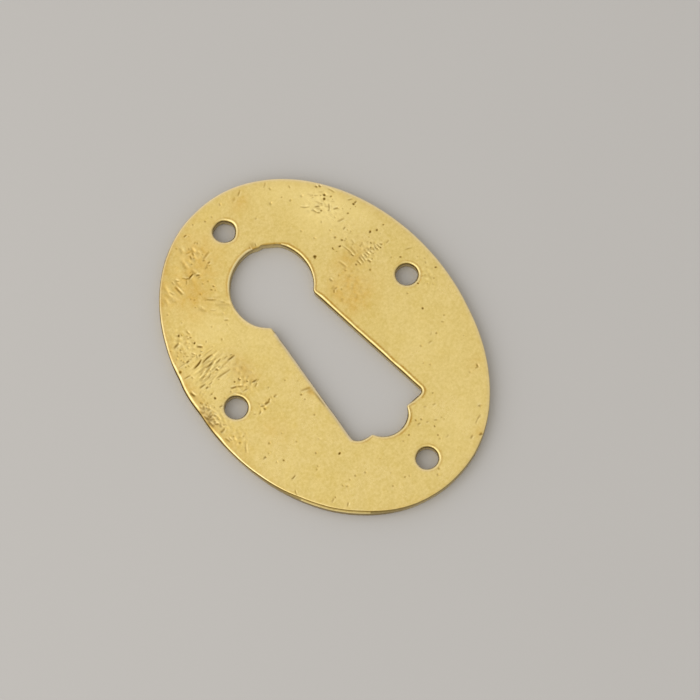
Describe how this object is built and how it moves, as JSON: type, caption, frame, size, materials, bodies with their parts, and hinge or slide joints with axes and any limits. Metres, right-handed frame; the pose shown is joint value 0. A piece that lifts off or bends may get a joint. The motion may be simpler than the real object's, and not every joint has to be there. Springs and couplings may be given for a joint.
{
  "type": "keyhole escutcheon",
  "caption": "Flat oval plate of worn sheet brass that frames a keyhole on a drawer or door, with a round-headed flared keyhole and plain pin holes at its ends and sides.",
  "frame": {"origin": "centre of the oval on the back face, which lies on the wood", "axes": "+Z out of the front face, +Y along the oval towards the keyhole's round head, +X to the right as seen from the front"},
  "size_m": [0.0298, 0.04, 0.0012],
  "materials": {
    "brass": "satin polished sheet brass, with pits, file marks, scratches and patches of tarnish"
  },
  "bodies": {
    "root": {"escutcheon_plate": "brass"}
  },
  "joints": []
}
